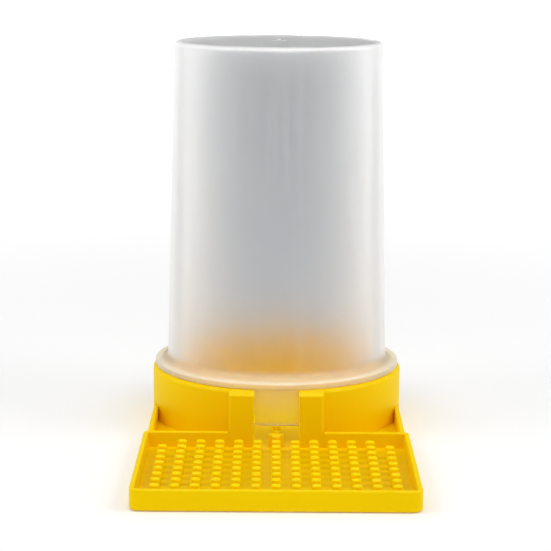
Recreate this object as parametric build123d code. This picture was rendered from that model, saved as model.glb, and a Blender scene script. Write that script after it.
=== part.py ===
from build123d import *
import math
import os

# Hive entrance drinker: an upturned reservoir cup standing in a tray base.
# Millimetres. The origin is on the resting plane, on the axis of the cup. +Z is up, and the
# drinking tray lies towards -Y, which is the side that goes into the hive entrance.

# ---------------------------------------------------------------- driving dimensions

# Base: walls and floors
FLOOR = 1.8                     # thickness of every floor
WALL = 1.8                      # thickness of every low wall
RIM_HEIGHT = 7.7                # top of the low walls, above the resting plane
RIM_ROUND = 0.6                 # rounding of the rim's two edges
BOTTOM_ROUND = 1.0              # rounding of the outer bottom edges

# Base: front drinking tray
TRAY_HALF_WIDTH = 50.0
TRAY_FRONT_Y = -129.0
TRAY_REAR_Y = -55.0             # face of the rear wall towards the studs
TRAY_FRONT_CORNER = 3.6         # corner radii in plan
TRAY_REAR_CORNER = 2.0

# Base: studs on the tray floor
STUD_PITCH = 7.0
STUD_RADIUS = 1.7
STUD_TOP = 6.4                  # above the resting plane
STUD_ROUND = 0.5
STUD_COLUMNS = 13
STUD_ROWS = 9
STUD_REAR_ROW_Y = -61.8
GAP_STUD_STEPS = (2, 3)         # studs of the middle column that carry on through the gap

# Base: collar round the cup, and the gap at its front
COLLAR_RADIUS = 49.6
COLLAR_BORE = 47.3
COLLAR_TOP = 22.1
COLLAR_ROUND = 1.7
COLLAR_LEAD_IN = 0.5
GAP_HALF_WIDTH = 8.4
POST_HALF_SPAN = 18.0           # outer faces of the two gap posts
POST_TOP = 22.0
POST_ROUND = 0.6                # rounding round the top of a post
POST_INNER_CORNER = 0.7         # corner radii of a post in plan
POST_OUTER_CORNER = 1.6

# Base: pan that joins the tray to the collar
PAN_HALF_WIDTH = 48.6

# Base: baffle in the gap
BAFFLE_HALF_WIDTH = 2.85
BAFFLE_TOP = 6.9

# Reservoir cup
NECK_RADIUS = 46.8
NECK_BOTTOM = 7.9
NECK_THICKNESS = 1.6
FLANGE_RADIUS = 48.6
FLANGE_BOTTOM = 22.2
FLANGE_TOP = 24.5
FLANGE_EDGE_ROUND = 0.5
SHOULDER_ROUND = 3.3            # hollow fillet from the flange up into the wall
WALL_FOOT_RADIUS = 43.75        # outer radius of the wall at the flange's top
WALL_HEAD_RADIUS = 40.9         # outer radius of the wall at the closed end
CUP_TOP = 151.0
CUP_WALL = 1.3
CUP_END = 1.6
CUP_TOP_ROUND = 1.9
GATE_PAD_RADIUS = 2.8           # low round pad where the moulding was filled
GATE_PAD_RISE = 0.2
GATE_NUB_RADIUS = 0.65          # stub left in the middle of the pad
GATE_NUB_RISE = 0.7
GATE_NUB_ROUND = 0.3


def box_between(low, high):
    """Box from its lowest corner to its highest corner."""
    size = [b - a for a, b in zip(low, high)]
    return Pos(*low) * Box(*size, align=(Align.MIN, Align.MIN, Align.MIN))


def cylinder_between(radius, z_low, z_high):
    """Upright cylinder on the cup's axis."""
    return Pos(0, 0, z_low) * Cylinder(
        radius, z_high - z_low, align=(Align.CENTER, Align.CENTER, Align.MIN)
    )


def write(shape, node, colour):
    """Writes one sub-part to its own STEP file."""
    shape.label = node
    shape.color = Color(*colour)
    export_step(shape, "parts/" + node + ".step")


def edges_at(shape, z):
    """Edges of a shape that lie wholly at one height."""
    return shape.edges().filter_by_position(Axis.Z, z - 0.001, z + 0.001)


# ---------------------------------------------------------------- base: drinking tray


def tray_outline(inset):
    """Plan outline of the tray, pulled in by inset, with round corners."""
    corners = {True: TRAY_FRONT_CORNER, False: TRAY_REAR_CORNER}
    front = TRAY_FRONT_Y + inset
    rear = TRAY_REAR_Y + WALL - inset
    side = TRAY_HALF_WIDTH - inset
    plan = Pos(0, (front + rear) / 2) * Rectangle(2 * side, rear - front)
    middle = (front + rear) / 2
    for at_front, radius in corners.items():
        chosen = [v for v in plan.vertices() if (v.Y < middle) == at_front]
        plan = fillet(chosen, max(radius - inset, 0.4))
    return plan


def make_tray():
    """Shallow tray: floor, low walls, and a rear wall that stops at the gap posts.

    Its rounded underside is filled out flat where the pan carries on behind it.
    """
    body = extrude(tray_outline(0), RIM_HEIGHT)
    body -= Pos(0, 0, FLOOR) * extrude(tray_outline(WALL), RIM_HEIGHT)
    body = fillet(edges_at(body, RIM_HEIGHT), RIM_ROUND)
    body = fillet(edges_at(body, 0), BOTTOM_ROUND)
    rear = TRAY_REAR_Y + WALL
    half = PAN_HALF_WIDTH - BOTTOM_ROUND
    body += box_between((-half, rear - 2 * BOTTOM_ROUND, 0), (half, rear, FLOOR))
    opening = box_between(
        (-POST_HALF_SPAN, TRAY_REAR_Y - WALL, FLOOR),
        (POST_HALF_SPAN, TRAY_REAR_Y + 2 * WALL, RIM_HEIGHT + 1),
    )
    body -= opening
    return body


# ---------------------------------------------------------------- base: studs


def make_stud():
    """One round stud with a softened top, standing on the tray floor."""
    stud = Pos(0, 0, FLOOR) * Cylinder(
        STUD_RADIUS, STUD_TOP - FLOOR, align=(Align.CENTER, Align.CENTER, Align.MIN)
    )
    return fillet(edges_at(stud, STUD_TOP), STUD_ROUND)


def stud_places():
    """Plan positions of the studs: a square grid, less its two rear corners."""
    places = []
    half = STUD_COLUMNS // 2
    for column in range(-half, half + 1):
        for row in range(STUD_ROWS):
            if abs(column) == half and row == 0:
                continue
            places.append((column * STUD_PITCH, STUD_REAR_ROW_Y - row * STUD_PITCH))
    for step in GAP_STUD_STEPS:
        places.append((0, STUD_REAR_ROW_Y + step * STUD_PITCH))
    return places


def make_studs():
    """All the studs, each one its own solid."""
    stud = make_stud()
    return Compound(children=[Pos(x, y, 0) * stud for x, y in stud_places()])


# ---------------------------------------------------------------- base: pan behind the tray


def make_pan():
    """Floor under the collar, with side walls that run back into the collar."""
    front = TRAY_REAR_Y + WALL
    plan = Circle(COLLAR_RADIUS)
    plan += Pos(0, front / 2) * Rectangle(2 * PAN_HALF_WIDTH, -front)
    pan = extrude(plan, FLOOR)
    pan = fillet(edges_at(pan, 0).sort_by(Axis.Y)[1:], BOTTOM_ROUND)
    for side in (-1, 1):
        low, high = sorted((side * PAN_HALF_WIDTH, side * (PAN_HALF_WIDTH - WALL)))
        wall = box_between((low, front, FLOOR), (high, 0, RIM_HEIGHT))
        along = wall.edges().filter_by(Axis.Y)
        wall = fillet(along.filter_by_position(Axis.Z, RIM_HEIGHT, RIM_HEIGHT), RIM_ROUND)
        pan += wall - cylinder_between(COLLAR_RADIUS, 0, RIM_HEIGHT + 1)
    return pan


# ---------------------------------------------------------------- base: collar, posts, baffle


def make_collar():
    """C-shaped ring that holds the cup upright, open at the front between the posts."""
    ring = cylinder_between(COLLAR_RADIUS, FLOOR, COLLAR_TOP)
    ring = fillet(edges_at(ring, COLLAR_TOP), COLLAR_ROUND)
    ring -= cylinder_between(COLLAR_BORE, FLOOR - 1, COLLAR_TOP + 1)
    inner = edges_at(ring, COLLAR_TOP).filter_by(GeomType.CIRCLE)
    ring = chamfer(inner.sort_by(SortBy.RADIUS)[:1], COLLAR_LEAD_IN)
    opening = box_between(
        (-POST_HALF_SPAN, -COLLAR_RADIUS - 1, FLOOR - 1),
        (POST_HALF_SPAN, 0, COLLAR_TOP + 1),
    )
    return ring - opening


def corner_at(plan, x, y):
    """Corner of a plan outline that lies nearest to one place."""
    return min(plan.vertices(), key=lambda v: math.dist((v.X, v.Y), (x, y)))


def post_outline(side, outer_corner):
    """Plan outline of a post, with its front corners rounded. An outer radius of 0 is square."""
    inner_x = side * GAP_HALF_WIDTH
    outer_x = side * POST_HALF_SPAN
    plan = Pos((inner_x + outer_x) / 2, TRAY_REAR_Y / 2) * Rectangle(
        POST_HALF_SPAN - GAP_HALF_WIDTH, -TRAY_REAR_Y
    )
    plan = fillet(corner_at(plan, inner_x, TRAY_REAR_Y), POST_INNER_CORNER)
    if outer_corner:
        plan = fillet(corner_at(plan, outer_x, TRAY_REAR_Y), outer_corner)
    return plan


def make_post(side):
    """Post that ends the collar at the gap. Its face is flush with the rear wall.

    The outer corner is square up to the rim, where the rear wall meets it, and round above.
    """
    joint = RIM_HEIGHT - RIM_ROUND
    upper = Pos(0, 0, joint) * extrude(post_outline(side, POST_OUTER_CORNER), POST_TOP - joint)
    around = [e for e in edges_at(upper, POST_TOP) if e.center().Y < -1]
    upper = fillet(around, POST_ROUND)
    lower = Pos(0, 0, FLOOR) * extrude(post_outline(side, 0), joint - FLOOR)
    return upper + lower - cylinder_between(COLLAR_BORE, FLOOR - 1, POST_TOP + 1)


def make_baffle():
    """Narrow wall that splits the gap into two outlets, with a stud in its middle."""
    plate = box_between(
        (-BAFFLE_HALF_WIDTH, TRAY_REAR_Y, FLOOR),
        (BAFFLE_HALF_WIDTH, TRAY_REAR_Y + WALL, BAFFLE_TOP),
    )
    plate = fillet(plate.edges().group_by(Axis.Z)[-1], RIM_ROUND)
    return plate + Pos(0, STUD_REAR_ROW_Y + STUD_PITCH, 0) * make_stud()


# ---------------------------------------------------------------- reservoir cup


def wall_radius(z):
    """Outer radius of the tapered wall at one height."""
    share = (z - FLANGE_TOP) / (CUP_TOP - FLANGE_TOP)
    return WALL_FOOT_RADIUS + share * (WALL_HEAD_RADIUS - WALL_FOOT_RADIUS)


def cup_outside():
    """Solid of revolution with the cup's outer shape."""
    neck = cylinder_between(NECK_RADIUS, NECK_BOTTOM, FLANGE_TOP)
    flange = cylinder_between(FLANGE_RADIUS, FLANGE_BOTTOM, FLANGE_TOP)
    flange = fillet(flange.edges().filter_by(GeomType.CIRCLE), FLANGE_EDGE_ROUND)
    height = CUP_TOP - FLANGE_TOP
    wall = Pos(0, 0, FLANGE_TOP) * Cone(
        WALL_FOOT_RADIUS,
        WALL_HEAD_RADIUS,
        height,
        align=(Align.CENTER, Align.CENTER, Align.MIN),
    )
    wall = fillet(edges_at(wall, CUP_TOP), CUP_TOP_ROUND)
    neck = fillet(edges_at(neck, NECK_BOTTOM), FLANGE_EDGE_ROUND)
    outside = neck + flange + wall
    foot = [
        e
        for e in edges_at(outside, FLANGE_TOP).filter_by(GeomType.CIRCLE)
        if abs(e.radius - WALL_FOOT_RADIUS) < 0.01
    ]
    return fillet(foot, SHOULDER_ROUND)


def cup_inside():
    """Hollow of the cup: neck, a short cone under the flange, and the tapered barrel."""
    slope = (WALL_FOOT_RADIUS - WALL_HEAD_RADIUS) / (CUP_TOP - FLANGE_TOP)
    neck_bore = NECK_RADIUS - NECK_THICKNESS
    cone_low = FLANGE_BOTTOM
    cone_high = FLANGE_TOP + SHOULDER_ROUND
    barrel_low = wall_radius(cone_high) - CUP_WALL
    barrel_top = CUP_TOP - CUP_END
    barrel_high = barrel_low - slope * (barrel_top - cone_high)
    with BuildSketch(Plane.XZ) as profile:
        with BuildLine():
            Polyline(
                (0, NECK_BOTTOM - 1),
                (neck_bore, NECK_BOTTOM - 1),
                (neck_bore, cone_low),
                (barrel_low, cone_high),
                (barrel_high, barrel_top),
                (0, barrel_top),
                close=True,
            )
        make_face()
    return revolve(profile.sketch, Axis.Z)


def gate_mark():
    """Pad and stub at the middle of the closed end, where the moulding was filled."""
    pad = cylinder_between(GATE_PAD_RADIUS, CUP_TOP - CUP_END / 2, CUP_TOP + GATE_PAD_RISE)
    nub_top = CUP_TOP + GATE_NUB_RISE
    nub = cylinder_between(GATE_NUB_RADIUS, CUP_TOP - CUP_END / 2, nub_top)
    return pad + fillet(edges_at(nub, nub_top), GATE_NUB_ROUND)


def make_cup():
    """Thin-walled cup, closed at its top end and open at its neck."""
    return cup_outside() - cup_inside() + gate_mark()


# ---------------------------------------------------------------- files

YELLOW = (0.93, 0.72, 0.0)
FROSTED = (0.88, 0.88, 0.88)

os.makedirs("parts", exist_ok=True)
write(make_tray(), "drinking_tray", YELLOW)
write(make_studs(), "tray_studs", YELLOW)
write(make_pan(), "collar_pan", YELLOW)
write(make_collar(), "cup_collar", YELLOW)
write(make_post(-1), "left_gap_post", YELLOW)
write(make_post(1), "right_gap_post", YELLOW)
write(make_baffle(), "gap_baffle", YELLOW)
write(make_cup(), "reservoir_cup", FROSTED)
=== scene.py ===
import math

import bpy
from mathutils import Matrix, Vector


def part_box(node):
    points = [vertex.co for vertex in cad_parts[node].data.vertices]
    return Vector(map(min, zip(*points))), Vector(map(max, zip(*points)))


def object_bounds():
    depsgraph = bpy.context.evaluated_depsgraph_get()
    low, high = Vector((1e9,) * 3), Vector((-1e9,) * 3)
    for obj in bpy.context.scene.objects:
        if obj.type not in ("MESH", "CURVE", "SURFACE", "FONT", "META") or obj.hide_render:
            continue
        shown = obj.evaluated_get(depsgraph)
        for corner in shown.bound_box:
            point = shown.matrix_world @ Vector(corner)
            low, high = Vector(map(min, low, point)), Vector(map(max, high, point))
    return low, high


# Hive entrance drinker: an upturned frosted cup in a yellow base with a studded tray.
# Metres, degrees and watts, in the frame of the part: the cup's axis is the Z axis, and the
# drinking tray lies towards -Y.

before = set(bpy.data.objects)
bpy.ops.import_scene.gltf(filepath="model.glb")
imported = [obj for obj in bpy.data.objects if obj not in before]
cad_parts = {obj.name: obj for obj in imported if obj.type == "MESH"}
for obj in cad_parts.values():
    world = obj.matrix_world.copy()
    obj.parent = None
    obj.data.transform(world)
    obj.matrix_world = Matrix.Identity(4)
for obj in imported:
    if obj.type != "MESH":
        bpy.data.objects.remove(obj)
cad_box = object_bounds()

WHITE = (1.0, 1.0, 1.0)

# ---------------------------------------------------------------- node helpers

# How many finer layers noise has
LITTLE_DETAIL = 2.0
SOME_DETAIL = 3.0
MUCH_DETAIL = 4.0

EDGE_PEAK = 4.0     # brings the middle of a rounded edge, half flat and half upright, up to 1


def new_material(name):
    """Material with a Principled shader. Returns the material, its tree and the shader."""
    material = bpy.data.materials.new(name)
    material.use_nodes = True
    tree = material.node_tree
    return material, tree, tree.nodes["Principled BSDF"]


def feed(tree, socket, value):
    """Gives a socket its value, which is a number, a colour or another node's output."""
    if isinstance(value, bpy.types.NodeSocket):
        tree.links.new(value, socket)
    elif isinstance(value, tuple):
        socket.default_value = (*value, 1.0)
    else:
        socket.default_value = value


def combine(tree, operation, one, two):
    """One value worked out from two. Each is an output or a number."""
    node = tree.nodes.new("ShaderNodeMath")
    node.operation = operation
    feed(tree, node.inputs[0], one)
    feed(tree, node.inputs[1], two)
    return node.outputs["Value"]


def times(tree, first, *others):
    """Product of two or more values."""
    product = first
    for other in others:
        product = combine(tree, "MULTIPLY", product, other)
    return product


def rest_of(tree, share):
    """What a share leaves of 1."""
    return combine(tree, "SUBTRACT", 1.0, share)


def blend(tree, kind, factor, one, two):
    """Value between one and two, by factor: a number if kind is FLOAT, a colour if it is RGBA."""
    node = tree.nodes.new("ShaderNodeMix")
    node.data_type = kind
    tree.links.new(factor, node.inputs["Factor"])
    feed(tree, node.inputs["A"], one)
    feed(tree, node.inputs["B"], two)
    return node.outputs["Result"]


def spread(tree, value, low, high, smooth=False, low_from=0.0, high_from=1.0):
    """Maps a value from low_from..high_from to low..high, and holds it there outside them."""
    node = tree.nodes.new("ShaderNodeMapRange")
    node.interpolation_type = "SMOOTHSTEP" if smooth else "LINEAR"
    node.inputs["From Min"].default_value = low_from
    node.inputs["From Max"].default_value = high_from
    node.inputs["To Min"].default_value = low
    node.inputs["To Max"].default_value = high
    tree.links.new(value, node.inputs["Value"])
    return node.outputs["Result"]


def step(tree, value, low, high):
    """0 below low, 1 above high, and smooth between."""
    return spread(tree, value, 0.0, 1.0, True, low, high)


def place_of(tree):
    """The point's place in the object's own metres."""
    if "coordinates" not in tree.nodes:
        coordinates = tree.nodes.new("ShaderNodeTexCoord")
        coordinates.name = "coordinates"
    return tree.nodes["coordinates"].outputs["Object"]


def part_of(tree, vector, axis):
    """One axis of a vector."""
    node = tree.nodes.new("ShaderNodeSeparateXYZ")
    tree.links.new(vector, node.inputs["Vector"])
    return node.outputs[axis]


def height_of(tree):
    """The point's height above the resting plane."""
    return part_of(tree, place_of(tree), "Z")


def flatness(tree):
    """1 where the surface lies flat, 0 where it stands upright."""
    surface = tree.nodes.new("ShaderNodeNewGeometry")
    return combine(tree, "ABSOLUTE", part_of(tree, surface.outputs["Normal"], "Z"), 0.0)


def rounded_edge(tree):
    """1 halfway round an edge from a flat face to an upright one, and 0 on both faces."""
    flat = flatness(tree)
    return times(tree, flat, rest_of(tree, flat), EDGE_PEAK)


def noise(tree, scale, detail=SOME_DETAIL, stretch=(1.0, 1.0, 1.0)):
    """Noise with so many swells a metre, each made longer along each axis by stretch."""
    spot = tree.nodes.new("ShaderNodeVectorMath")
    spot.operation = "DIVIDE"
    spot.inputs[1].default_value = stretch
    tree.links.new(place_of(tree), spot.inputs[0])
    node = tree.nodes.new("ShaderNodeTexNoise")
    node.inputs["Scale"].default_value = scale
    node.inputs["Detail"].default_value = detail
    tree.links.new(spot.outputs["Vector"], node.inputs["Vector"])
    return node.outputs["Fac"]


def bump(tree, shader, *layers):
    """Bump from layers of height, strength 0..1 and distance in metres, one on the other."""
    normal = None
    for height, strength, distance in layers:
        node = tree.nodes.new("ShaderNodeBump")
        node.inputs["Strength"].default_value = strength
        node.inputs["Distance"].default_value = distance
        tree.links.new(height, node.inputs["Height"])
        if normal:
            tree.links.new(normal, node.inputs["Normal"])
        normal = node.outputs["Normal"]
    tree.links.new(normal, shader.inputs["Normal"])


# ---------------------------------------------------------------- camera

CAMERA_DISTANCE = 0.7385
CAMERA_HEIGHT = 0.1953
CAMERA_SIDE = -0.0007
CAMERA_DOWN = 10.57
CAMERA_ROLL = 0.4
CAMERA_LENS = 122.6     # millimetres
CAMERA_NEAR = 0.05      # it sees nothing nearer than this, or farther than the next one
CAMERA_FAR = 20.0


def make_camera():
    """Long lens in front of the tray, a little above it and tilted a touch to one side."""
    data = bpy.data.cameras.new("camera")
    data.lens = CAMERA_LENS
    data.clip_start = CAMERA_NEAR
    data.clip_end = CAMERA_FAR
    camera = bpy.data.objects.new("camera", data)
    down = math.radians(CAMERA_DOWN)
    forward = Vector((0.0, math.cos(down), -math.sin(down)))
    right = Vector((1.0, 0.0, 0.0))
    up = right.cross(forward)
    turn = Matrix.Rotation(math.radians(-CAMERA_ROLL), 3, forward)
    axes = Matrix((turn @ right, turn @ up, -forward)).transposed()
    place = Matrix.Translation((CAMERA_SIDE, -CAMERA_DISTANCE, CAMERA_HEIGHT))
    camera.matrix_world = place @ axes.to_4x4()
    bpy.context.scene.collection.objects.link(camera)
    bpy.context.scene.camera = camera


# ---------------------------------------------------------------- studio

# Surround: its strength as a light, as the camera sees it, and as it shows through the cup
FRONT_LIGHT = 0.63      # from in front and from beside
BACK_LIGHT = 0.4        # from straight behind
GREY_FROM = 0.3         # cosine of the angle from straight behind at which it starts to weaken
SEEN_LIGHT = 1.0
THROUGH_LIGHT = 0.49

# Soft lights, turned towards the middle of the part
SIDE_SIZE = (0.5, 0.5)
LEFT_PLACE = (-0.8, -0.25, 0.85)
LEFT_WATTS = 2.3
RIGHT_PLACE = (0.8, -0.25, 0.85)
RIGHT_WATTS = 2.7
KEY_SIZE = (0.4, 0.4)
KEY_PLACE = (0.0, -0.2, 1.2)
KEY_WATTS = 2.35

# Floor, which glows so that it fades into the surround
FLOOR_SIZE = 60.0
FLOOR_GAP = 0.0002      # between it and the resting plane
FLOOR_COLOUR = (0.90, 0.90, 0.90)
THROUGH_COLOUR = (0.485, 0.495, 0.515)  # where it is seen through the cup
FLOOR_ROUGHNESS = 0.8
NEAR_GLOW = 0.10        # strength of the glow up to GLOW_NEAR from the cup's axis
FAR_GLOW = 0.7          # and from GLOW_FAR on
GLOW_NEAR = 0.15
GLOW_FAR = 1.2

# Bounces of light, which has to pass both of the cup's walls and go round in the collar
MOST_BOUNCES = 24
DIFFUSE_BOUNCES = 8
GLOSSY_BOUNCES = 16
CLEAR_BOUNCES = 24
NO_BOUNCE = 0.5         # more bounces than this are one or more, and fewer are none


def soft_light(name, place, size, watts):
    """Rectangular soft light at place, turned towards the middle of the part."""
    data = bpy.data.lights.new(name, "AREA")
    data.shape = "RECTANGLE"
    data.size, data.size_y = size
    data.energy = watts
    light = bpy.data.objects.new(name, data)
    light.location = place
    aim = (Vector(cad_box[0]) + Vector(cad_box[1])) / 2
    light.rotation_euler = (aim - Vector(place)).to_track_quat("-Z", "Y").to_euler()
    bpy.context.scene.collection.objects.link(light)


def through_cup(tree):
    """1 for what is seen straight through the cup's clear wall, 0 for anything else."""
    path = tree.nodes.new("ShaderNodeLightPath")
    passed = combine(tree, "GREATER_THAN", path.outputs["Transmission Depth"], NO_BOUNCE)
    straight = combine(tree, "LESS_THAN", path.outputs["Diffuse Depth"], NO_BOUNCE)
    return times(tree, passed, straight)


def make_surround():
    """Surround that looks white. As a light it is weaker from behind, and through the cup it is grey."""
    world = bpy.data.worlds.new("surround")
    world.use_nodes = True
    tree = world.node_tree
    direction = tree.nodes.new("ShaderNodeTexCoord").outputs["Generated"]
    backward = part_of(tree, direction, "Y")
    light = spread(tree, backward, FRONT_LIGHT, BACK_LIGHT, True, GREY_FROM, 1.0)
    light = blend(tree, "FLOAT", through_cup(tree), light, THROUGH_LIGHT)
    path = tree.nodes.new("ShaderNodeLightPath")
    light = blend(tree, "FLOAT", path.outputs["Is Camera Ray"], light, SEEN_LIGHT)
    background = tree.nodes["Background"]
    feed(tree, background.inputs["Strength"], light)
    feed(tree, background.inputs["Color"], WHITE)
    bpy.context.scene.world = world


def make_floor():
    """Wide pale floor, just under the resting plane, that fades into the white surround."""
    bpy.ops.mesh.primitive_plane_add(size=FLOOR_SIZE, location=(0.0, 0.0, -FLOOR_GAP))
    floor = bpy.context.object
    floor.name = "floor"
    pale, tree, shader = new_material("pale_floor")
    through = through_cup(tree)
    colour = blend(tree, "RGBA", through, FLOOR_COLOUR, THROUGH_COLOUR)
    feed(tree, shader.inputs["Base Color"], colour)
    shader.inputs["Roughness"].default_value = FLOOR_ROUGHNESS
    shader.inputs["Specular IOR Level"].default_value = 0.0
    feed(tree, shader.inputs["Emission Color"], WHITE)
    away = tree.nodes.new("ShaderNodeVectorMath")
    away.operation = "LENGTH"
    tree.links.new(place_of(tree), away.inputs["Vector"])
    far = step(tree, away.outputs["Value"], GLOW_NEAR, GLOW_FAR)
    glow = times(tree, spread(tree, far, NEAR_GLOW, FAR_GLOW), rest_of(tree, through))
    feed(tree, shader.inputs["Emission Strength"], glow)
    floor.data.materials.append(pale)


def make_studio():
    """Pale floor, a white surround, and soft lights high on the left, high on the right and above."""
    bpy.context.scene.view_settings.view_transform = "Standard"
    bounces = bpy.context.scene.cycles
    bounces.max_bounces = MOST_BOUNCES
    bounces.diffuse_bounces = DIFFUSE_BOUNCES
    bounces.glossy_bounces = GLOSSY_BOUNCES
    bounces.transmission_bounces = CLEAR_BOUNCES
    make_surround()
    make_floor()
    soft_light("left_softbox", LEFT_PLACE, SIDE_SIZE, LEFT_WATTS)
    soft_light("right_softbox", RIGHT_PLACE, SIDE_SIZE, RIGHT_WATTS)
    soft_light("key_softbox", KEY_PLACE, KEY_SIZE, KEY_WATTS)


# ---------------------------------------------------------------- scuffs, on both plastics

# Swells of noise a metre, and where in the noise a thing starts to show and shows in full
SCUFF_SWELLS = 900.0
SCUFF_STRETCH = (6.0, 1.0, 2.0)
SCUFF_NOISE = (0.58, 0.70)
PLACE_SWELLS = 45.0
PLACE_NOISE = (0.55, 0.75)


def scuffs(tree):
    """Sparse short rub marks, 0..1."""
    marks = step(tree, noise(tree, SCUFF_SWELLS, SOME_DETAIL, SCUFF_STRETCH), *SCUFF_NOISE)
    places = step(tree, noise(tree, PLACE_SWELLS), *PLACE_NOISE)
    return times(tree, marks, places)


# ---------------------------------------------------------------- yellow plastic

tray_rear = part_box("drinking_tray")[1][1]

DEEP_YELLOW = (0.93, 0.62, 0.0)     # its clouds go from this to the next one
LIGHT_YELLOW = (0.96, 0.655, 0.0)
FLOOR_SHADE_YELLOW = (0.78, 0.52, 0.0)     # painted shade on the tray's floor, between its studs
RUBBED_HIGHLIGHT_YELLOW = (0.98, 0.72, 0.03)  # along rubbed edges, partly wear and partly painted highlight, and how much of it shows
RUBBED_HIGHLIGHT_SHARE = 0.5
SCUFFED_YELLOW = (0.97, 0.70, 0.06)     # on scuffs, and how much of it shows
SCUFFED_SHARE = 0.25

YELLOW_ROUGHNESS = (0.36, 0.46)
RUBBED_GLOSS = 0.08     # rubbed edges are less rough by this, and scuffs rougher by the next one
SCUFFED_ROUGHNESS = 0.12
YELLOW_SPECULAR = 0.03
YELLOW_SHEEN = 0.2
YELLOW_SHEEN_ROUGHNESS = 0.5
YELLOW_SHEEN_TINT = (1.0, 0.95, 0.0)

BODY_SOFTNESS = 0.15    # share of the light that spreads inside the plastic
STUD_SOFTNESS = 0.9     # and inside its thin studs
YELLOW_DEPTH = 0.0025   # how far that light spreads, and how much of this for red, green and blue
YELLOW_DEPTHS = (1.0, 0.97, 0.3)

CLOUD_SWELLS = 28.0
PATCH_SWELLS = 160.0    # of roughness
RUB_SWELLS = 260.0
RUB_NOISE = (0.35, 0.65)
FLOW_SWELLS = 120.0
GRAIN_SWELLS = 2200.0
FLOW_BUMP = (0.10, 0.00020)     # strength and distance of each bump
GRAIN_BUMP = (0.20, 0.00003)
SCUFF_BUMP = (0.20, 0.00002)

TRAY_FLOOR = 0.0022     # everything in the tray below this height is its floor
TRAY_FADE = 0.008       # the painted shade on the floor fades out over this length at its rear
TRAY_SWELLS = 60.0
TRAY_NOISE = (0.3, 0.6)
FLOOR_SHADE_SHARES = (0.7, 1.0)    # least and most of the painted shade that shows


def painted_floor_shade(tree):
    """How much painted shade the drinking tray's floor gets, 0..1, a little uneven."""
    low = combine(tree, "LESS_THAN", height_of(tree), TRAY_FLOOR)
    behind = step(tree, part_of(tree, place_of(tree), "Y"), tray_rear - TRAY_FADE, tray_rear)
    uneven = spread(tree, noise(tree, TRAY_SWELLS), *FLOOR_SHADE_SHARES, True, *TRAY_NOISE)
    return times(tree, low, rest_of(tree, behind), flatness(tree), uneven)


def yellow_plastic(name, softness):
    """Satin moulded plastic: flow clouds, fine grain, rubbed edges that are partly wear and partly
    painted highlight, scuffs, and painted shade on the tray floor.

    Softness is the share of the light that spreads inside the plastic.
    """
    material, tree, shader = new_material(name)
    marks = scuffs(tree)
    rub_and_highlight = times(tree, rounded_edge(tree), step(tree, noise(tree, RUB_SWELLS), *RUB_NOISE))

    colour = blend(tree, "RGBA", noise(tree, CLOUD_SWELLS), DEEP_YELLOW, LIGHT_YELLOW)
    # painted shade: the tray's floor darker between the studs, where the light is blocked
    colour = blend(tree, "RGBA", painted_floor_shade(tree), colour, FLOOR_SHADE_YELLOW)
    # rounded edges paler: partly wear, partly painted highlight along them
    colour = blend(tree, "RGBA", times(tree, rub_and_highlight, RUBBED_HIGHLIGHT_SHARE), colour, RUBBED_HIGHLIGHT_YELLOW)
    colour = blend(tree, "RGBA", times(tree, marks, SCUFFED_SHARE), colour, SCUFFED_YELLOW)
    feed(tree, shader.inputs["Base Color"], colour)

    rough = spread(tree, noise(tree, PATCH_SWELLS, MUCH_DETAIL), *YELLOW_ROUGHNESS)
    rough = combine(tree, "SUBTRACT", rough, times(tree, rub_and_highlight, RUBBED_GLOSS))
    rough = combine(tree, "ADD", rough, times(tree, marks, SCUFFED_ROUGHNESS))
    feed(tree, shader.inputs["Roughness"], rough)

    shader.inputs["Specular IOR Level"].default_value = YELLOW_SPECULAR
    shader.inputs["Sheen Weight"].default_value = YELLOW_SHEEN
    shader.inputs["Sheen Roughness"].default_value = YELLOW_SHEEN_ROUGHNESS
    feed(tree, shader.inputs["Sheen Tint"], YELLOW_SHEEN_TINT)
    shader.inputs["Subsurface Weight"].default_value = softness
    shader.inputs["Subsurface Radius"].default_value = YELLOW_DEPTHS
    shader.inputs["Subsurface Scale"].default_value = YELLOW_DEPTH

    flow = noise(tree, FLOW_SWELLS, LITTLE_DETAIL)
    grain = noise(tree, GRAIN_SWELLS, LITTLE_DETAIL)
    bump(tree, shader, (flow, *FLOW_BUMP), (grain, *GRAIN_BUMP), (marks, *SCUFF_BUMP))
    return material


# ---------------------------------------------------------------- frosted plastic

cup_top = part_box("reservoir_cup")[1][2]

# Heights on the cup, from below
NECK_HEIGHT = 0.008     # the neck turns milky from here up to the flange
CLEAR_HEIGHT = 0.008    # by its slant the wall is not milky at all up to here
LIP_HEIGHT = 0.0086     # top of the neck's milky lower edge
FLANGE_HEIGHT = 0.0222  # the flange is between this and the next one
WALL_HEIGHT = 0.0247
MILKY_HEIGHT = 0.026    # and as milky as its slant makes it from here up
SHOULDER_HEIGHT = 0.029     # top of the hollow fillet, and of the glossier neck and flange
TOP_DEPTH = 0.0035      # the closed end and the rounded edge round it are within this of the top
TOP_EDGE = cup_top - TOP_DEPTH

# Milkiness, 0 for clear and 1 for white
MILK_POWER = 1.5        # how fast the wall turns milky with the slant of the view
SLANT_BLEND = 0.5       # even measure of that slant
TOP_EDGE_MILK = 0.85    # round the cup's top
END_MILK = 0.18         # on its flat closed end
FLANGE_EDGE_MILK = 0.5  # round the flange
FLANGE_MILK = 0.7       # on its flat top face
RIM_MILK = 0.25         # on its upright rim
FILLET_MILK = 0.4       # in the hollow fillet above the flange, fading out upwards
LIP_MILK = 0.3          # at the neck's lower edge
NECK_MILK = 0.16        # at the neck's upper end
LINE_MILK = 0.06        # most that the lines up the wall add

COOL_FROST = (0.98, 0.987, 0.995)   # its clouds go from this to the next one
WHITE_FROST = (0.995, 1.0, 1.0)
PAINTED_COLLAR_GLOW = (1.0, 0.86, 0.66)   # painted glow: warm light from the yellow collar that it lies on

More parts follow.
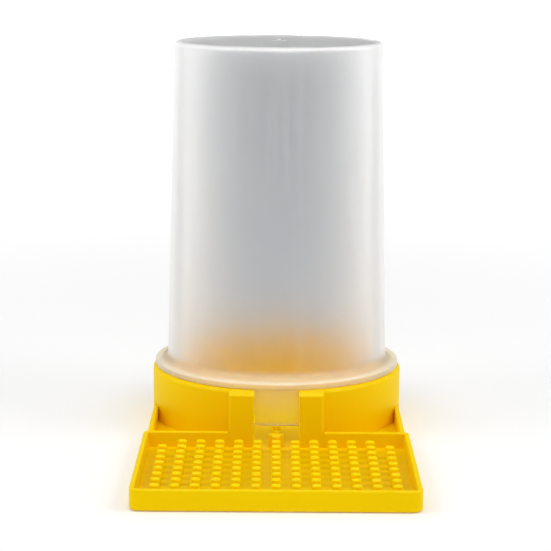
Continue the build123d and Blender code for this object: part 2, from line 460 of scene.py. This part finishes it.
FROST_ROUGHNESS = (0.86, 0.93)
FROST_SCUFFED = 0.05    # scuffs are rougher by this
FROST_IOR = 1.1
FROST_DEPTH = 0.002     # how far light spreads inside it, and how much of this for each colour
FROST_DEPTHS = (1.0, 1.0, 1.0)
FLANGE_COAT = 0.12
FLANGE_COAT_ROUGHNESS = 0.12

FROST_CLOUDS = 22.0     # swells of noise a metre
FROST_PATCHES = 220.0
FROST_LINES = 700.0
FROST_GRAIN = 1100.0
LINE_STRETCH = (1.0, 1.0, 60.0)
LINE_NOISE = (0.45, 0.75)
LINE_BUMP = (0.15, 0.00010)     # strength and distance
FROST_BUMP = (0.15, 0.00006)


def in_flange(tree):
    """1 in the cup's flange, and 0 above and below it."""
    height = height_of(tree)
    above = combine(tree, "GREATER_THAN", height, FLANGE_HEIGHT)
    below = combine(tree, "LESS_THAN", height, WALL_HEIGHT)
    return times(tree, above, below)


def in_fillet(tree):
    """1 in the cup's flange, fading to 0 up the hollow fillet above it."""
    height = height_of(tree)
    above = combine(tree, "GREATER_THAN", height, FLANGE_HEIGHT)
    fading = rest_of(tree, step(tree, height, WALL_HEIGHT, SHOULDER_HEIGHT))
    return times(tree, above, fading)


def wall_milk(tree):
    """Milkiness of the upright wall, which grows with the slant of the view through it."""
    slant = tree.nodes.new("ShaderNodeLayerWeight")
    slant.inputs["Blend"].default_value = SLANT_BLEND
    milk = combine(tree, "POWER", slant.outputs["Facing"], MILK_POWER)
    upright = rest_of(tree, flatness(tree))
    return times(tree, milk, upright, step(tree, height_of(tree), CLEAR_HEIGHT, MILKY_HEIGHT))


def edge_milk(tree):
    """Milkiness of the rounded edges, round the cup's top and round its flange."""
    at_top = combine(tree, "GREATER_THAN", height_of(tree), TOP_EDGE)
    top = times(tree, at_top, TOP_EDGE_MILK)
    flange = times(tree, in_flange(tree), FLANGE_EDGE_MILK)
    return times(tree, combine(tree, "ADD", top, flange), rounded_edge(tree))


def end_milk(tree):
    """Milkiness of the flat closed end."""
    at_top = combine(tree, "GREATER_THAN", height_of(tree), TOP_EDGE)
    return times(tree, at_top, flatness(tree), END_MILK)


def flange_milk(tree):
    """Milkiness of the flange, from its upright rim to its flat top face."""
    return times(tree, in_flange(tree), spread(tree, flatness(tree), RIM_MILK, FLANGE_MILK))


def lip_milk(tree):
    """Milkiness of the neck's lower edge."""
    return times(tree, combine(tree, "LESS_THAN", height_of(tree), LIP_HEIGHT), LIP_MILK)


def neck_milk(tree):
    """Milkiness of the neck, which grows up to the flange."""
    growing = step(tree, height_of(tree), NECK_HEIGHT, FLANGE_HEIGHT)
    below = combine(tree, "LESS_THAN", height_of(tree), WALL_HEIGHT)
    return times(tree, growing, NECK_MILK, below)


def milkiness(tree):
    """How milky the cup is: where the view slants through its wall, at its edges and in its flange."""
    fillet = times(tree, in_fillet(tree), FILLET_MILK)
    milk = combine(tree, "MAXIMUM", wall_milk(tree), edge_milk(tree))
    for share in (end_milk(tree), flange_milk(tree), fillet, lip_milk(tree), neck_milk(tree)):
        milk = combine(tree, "MAXIMUM", milk, share)
    return milk


def frosted_plastic():
    """Natural polypropylene: a frosted wall with faint lines drawn up it, milky where it is slanted."""
    material, tree, shader = new_material("frosted_plastic")
    marks = scuffs(tree)
    lines = noise(tree, FROST_LINES, LITTLE_DETAIL, LINE_STRETCH)

    colour = blend(tree, "RGBA", noise(tree, FROST_CLOUDS), COOL_FROST, WHITE_FROST)
    # painted glow: the yellow collar's light, painted warm on the flange and the hollow fillet above it
    colour = blend(tree, "RGBA", in_fillet(tree), colour, PAINTED_COLLAR_GLOW)
    feed(tree, shader.inputs["Base Color"], colour)

    rough = spread(tree, noise(tree, FROST_PATCHES, MUCH_DETAIL), *FROST_ROUGHNESS)
    rough = combine(tree, "ADD", rough, times(tree, marks, FROST_SCUFFED))
    feed(tree, shader.inputs["Roughness"], rough)

    faint = spread(tree, lines, 0.0, LINE_MILK, True, *LINE_NOISE)
    milk = combine(tree, "ADD", milkiness(tree), faint)
    feed(tree, shader.inputs["Transmission Weight"], spread(tree, milk, 1.0, 0.0))
    shader.inputs["IOR"].default_value = FROST_IOR
    shader.inputs["Subsurface Weight"].default_value = 1.0
    shader.inputs["Subsurface Radius"].default_value = FROST_DEPTHS
    shader.inputs["Subsurface Scale"].default_value = FROST_DEPTH

    glossy = combine(tree, "LESS_THAN", height_of(tree), SHOULDER_HEIGHT)
    feed(tree, shader.inputs["Coat Weight"], times(tree, glossy, FLANGE_COAT))
    shader.inputs["Coat Roughness"].default_value = FLANGE_COAT_ROUGHNESS

    grain = noise(tree, FROST_GRAIN, LITTLE_DETAIL)
    bump(tree, shader, (lines, *LINE_BUMP), (grain, *FROST_BUMP))
    return material


# ---------------------------------------------------------------- making


def finish_nodes():
    """Gives every CAD node its plastic: yellow, unless it has one of its own."""
    yellow = yellow_plastic("yellow_plastic", BODY_SOFTNESS)
    others = {
        "tray_studs": yellow_plastic("yellow_studs", STUD_SOFTNESS),
        "reservoir_cup": frosted_plastic(),
    }
    for name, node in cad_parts.items():
        node.data.materials.clear()
        node.data.materials.append(others.get(name, yellow))


make_camera()
make_studio()
finish_nodes()
